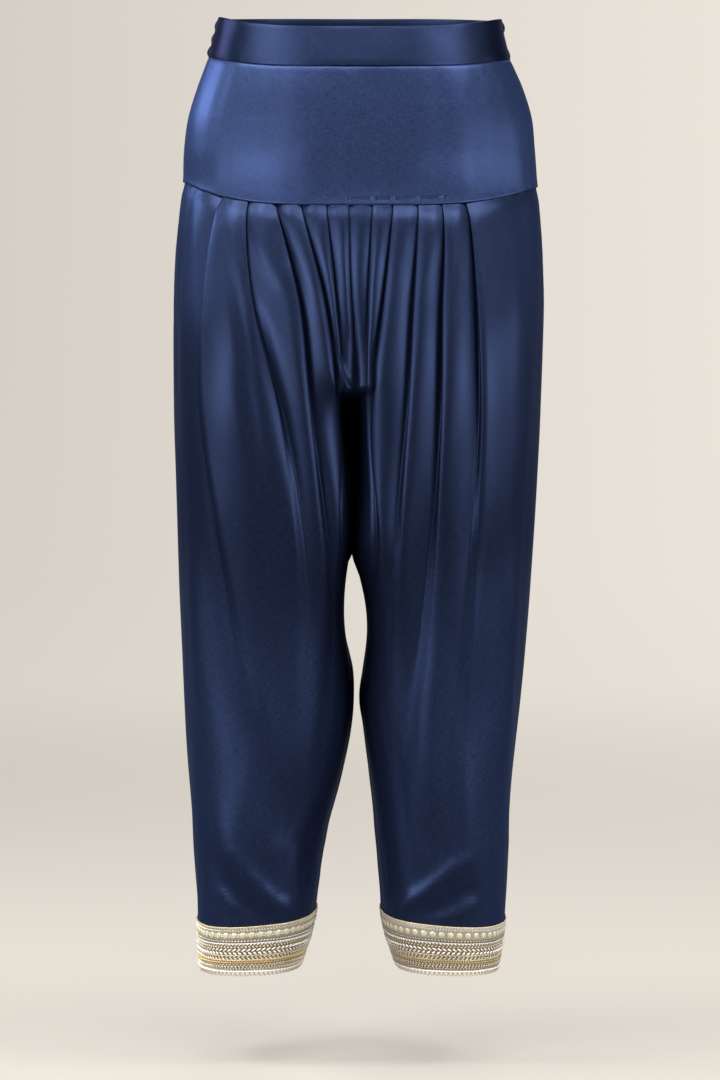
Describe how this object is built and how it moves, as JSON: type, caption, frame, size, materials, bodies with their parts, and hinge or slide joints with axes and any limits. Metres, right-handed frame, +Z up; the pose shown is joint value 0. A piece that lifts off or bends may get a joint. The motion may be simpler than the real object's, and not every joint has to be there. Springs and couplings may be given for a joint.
{
  "type": "pleated trousers",
  "caption": "Satin trousers with a fitted hip yoke, gathered back waistband, full pleated legs tapering to narrow hems, a low crotch and metallic braid hem borders.",
  "frame": {"origin": "middle of the waist opening, at the height where the waistband is held", "axes": "+Z up the garment, the garment faces -Y, the wearer's right leg is on the -X side"},
  "size_m": [0.3698, 0.3048, 0.9522],
  "materials": {
    "satin": "navy satin, soft sheen",
    "satin_pressed": "navy satin, pressed flat, brighter sheen",
    "braid": "gold and silver metallic braid, chain and dots on net"
  },
  "bodies": {
    "root": {"waistband_front": "satin_pressed", "waistband_back": "satin_pressed", "yoke_front": "satin_pressed", "yoke_back": "satin_pressed", "leg_right_front": "satin", "leg_right_back": "satin", "leg_left_front": "satin", "leg_left_back": "satin", "border_right": "braid", "border_left": "braid"}
  },
  "joints": []
}
